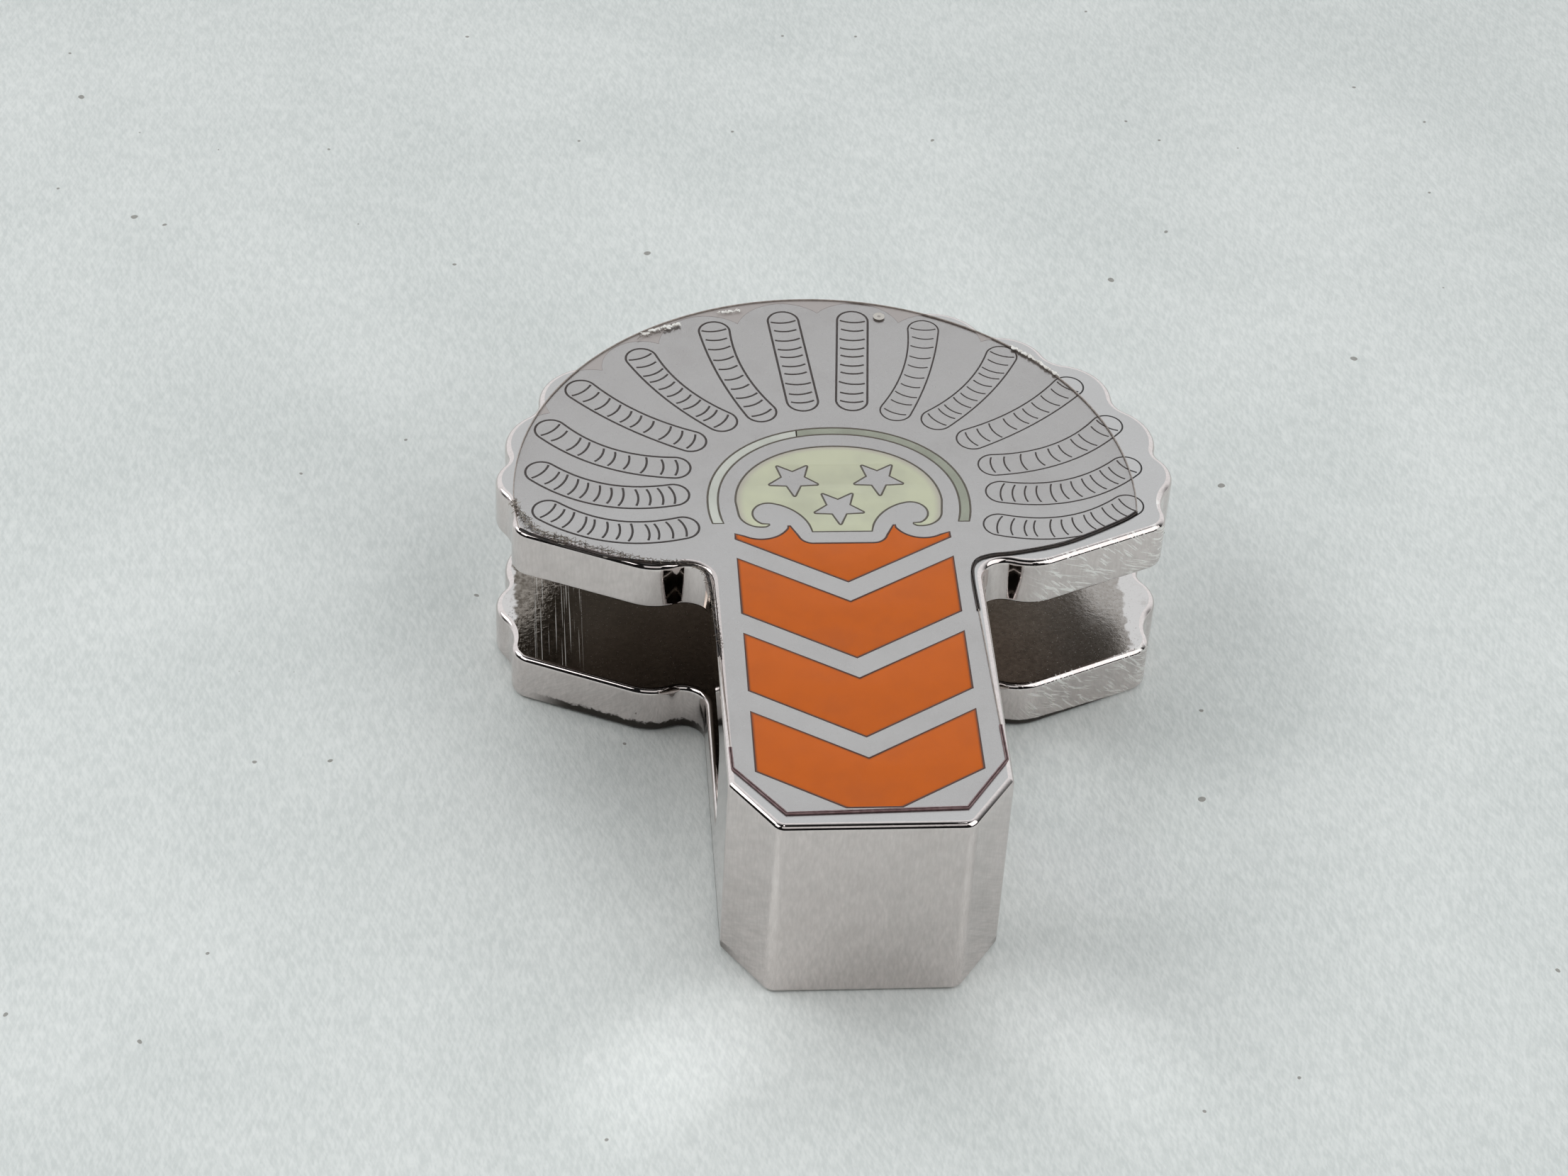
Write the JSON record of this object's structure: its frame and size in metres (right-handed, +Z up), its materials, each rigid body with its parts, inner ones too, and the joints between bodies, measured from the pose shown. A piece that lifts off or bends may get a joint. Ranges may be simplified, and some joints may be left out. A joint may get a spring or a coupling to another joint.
{
  "type": "scarf ring",
  "caption": "U-shaped metal scarf clip: scalloped fan plates on a straight stem joined by a front bridge, with enamel fields and a clear protective film on the upper face.",
  "frame": {"origin": "middle of the clip's plan box, on the underside of the lower plate, which lies on the surface", "axes": "+X across the clip, to the right seen from the bridge; +Y from the bridge to the back of the fan; +Z up"},
  "size_m": [0.0368, 0.0422, 0.0121],
  "materials": {
    "polished_metal": "polished, silver-coloured plating with fine wear",
    "orange_enamel": "smooth orange enamel, ground flush with the metal",
    "cream_enamel": "smooth cream enamel",
    "pale_enamel": "smooth pale enamel",
    "green_enamel": "smooth grey-green enamel",
    "clear_film": "thin clear protective film"
  },
  "bodies": {
    "root": {"clip_body": "polished_metal", "orange_crest": "orange_enamel", "chevron_1": "orange_enamel", "chevron_2": "orange_enamel", "chevron_3": "orange_enamel", "dome_enamel": "cream_enamel", "band_pale": "pale_enamel", "band_green": "green_enamel", "protective_film": "clear_film"}
  },
  "joints": []
}
